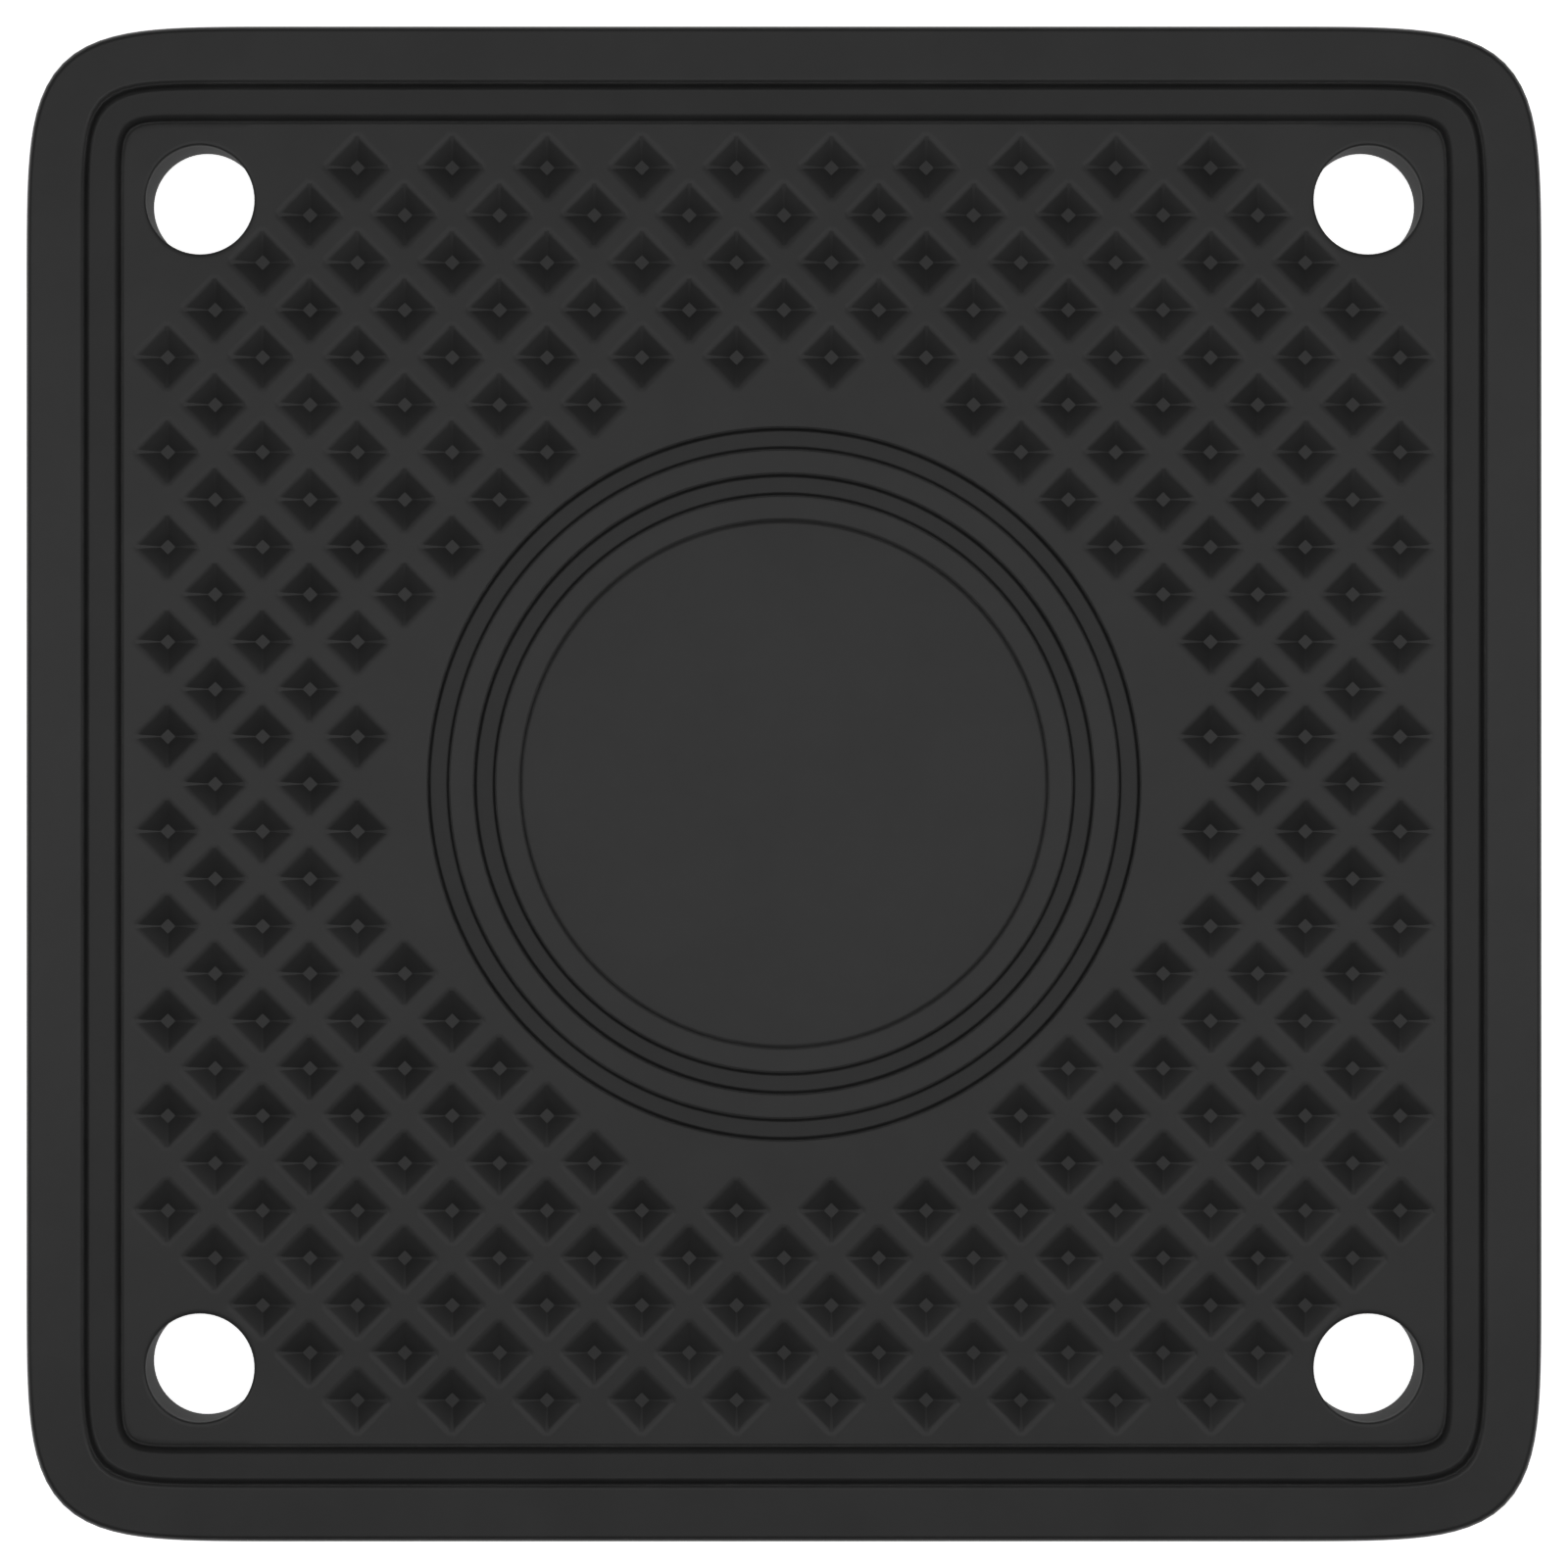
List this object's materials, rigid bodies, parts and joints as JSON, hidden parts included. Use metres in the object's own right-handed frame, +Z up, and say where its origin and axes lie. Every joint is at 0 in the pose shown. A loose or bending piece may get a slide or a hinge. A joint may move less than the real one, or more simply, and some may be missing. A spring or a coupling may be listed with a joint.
{
  "type": "silicone trivet",
  "caption": "Square moulded silicone trivet with a channelled rim, a field of pyramid pits around a ringed round pan, and hanging holes at its corners.",
  "frame": {"origin": "middle of the flat underside", "axes": "+Z up out of the patterned face, +X and +Y along the mat's two equal sides"},
  "size_m": [0.18, 0.18, 0.008],
  "materials": {
    "black_silicone": "matte"
  },
  "bodies": {
    "root": {"silicone_trivet": "black_silicone"}
  },
  "joints": []
}
